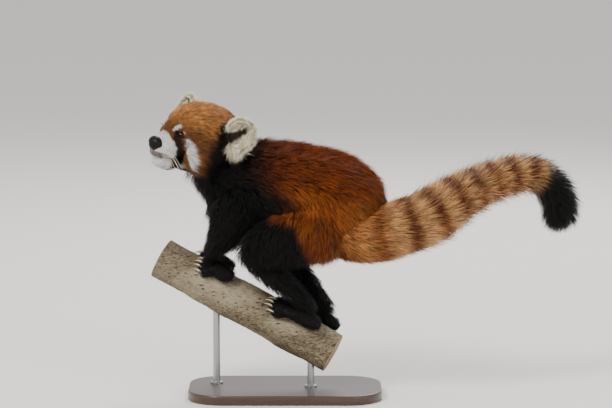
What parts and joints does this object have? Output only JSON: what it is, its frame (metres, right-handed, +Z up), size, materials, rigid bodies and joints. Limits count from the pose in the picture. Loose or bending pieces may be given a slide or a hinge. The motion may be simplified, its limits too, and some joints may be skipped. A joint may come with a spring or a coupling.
{
  "type": "red panda model",
  "caption": "Life-size still model of a red panda standing on a sloping length of branch, head turned to its left and bushy ringed tail stretched out behind, on a small rounded plate.",
  "frame": {"origin": "middle of the underside of the stand's plate", "axes": "+Z up; -X the way the body faces, so +X runs towards the tail; -Y the animal's left side"},
  "size_m": [0.7351, 0.2088, 0.5212],
  "materials": {
    "stand_wood": "dark satin lacquer",
    "branch_bark": "dry grey-brown bark",
    "stand_steel": "satin",
    "eye": "polished dark brown glass",
    "nose_skin": "damp black skin",
    "coat_face": "short orange-brown and white fur",
    "coat_back": "long red-brown fur",
    "coat_dark": "long dark brown fur",
    "coat_ear": "cream fur with a dark inside",
    "coat_black": "black-brown fur",
    "coat_tail": "long buff and red-brown ringed fur"
  },
  "bodies": {
    "root": {"stand_base": "stand_wood", "perch_branch": "branch_bark", "stand_rod_front": "stand_steel", "stand_rod_rear": "stand_steel", "eye_left": "eye", "eye_right": "eye", "nose": "nose_skin", "head": "coat_face", "torso": "coat_back", "neck": "coat_dark", "ear_left": "coat_ear", "ear_right": "coat_ear", "forefoot_left": "coat_black", "forefoot_right": "coat_black", "hindfoot_left": "coat_black", "hindfoot_right": "coat_black", "foreleg_left": "coat_black", "foreleg_right": "coat_black", "thigh_left": "coat_black", "thigh_right": "coat_black", "shin_left": "coat_black", "shin_right": "coat_black", "tail_base": "coat_tail", "tail_middle": "coat_tail", "tail_outer": "coat_tail", "tail_tip": "coat_black"}
  },
  "joints": []
}
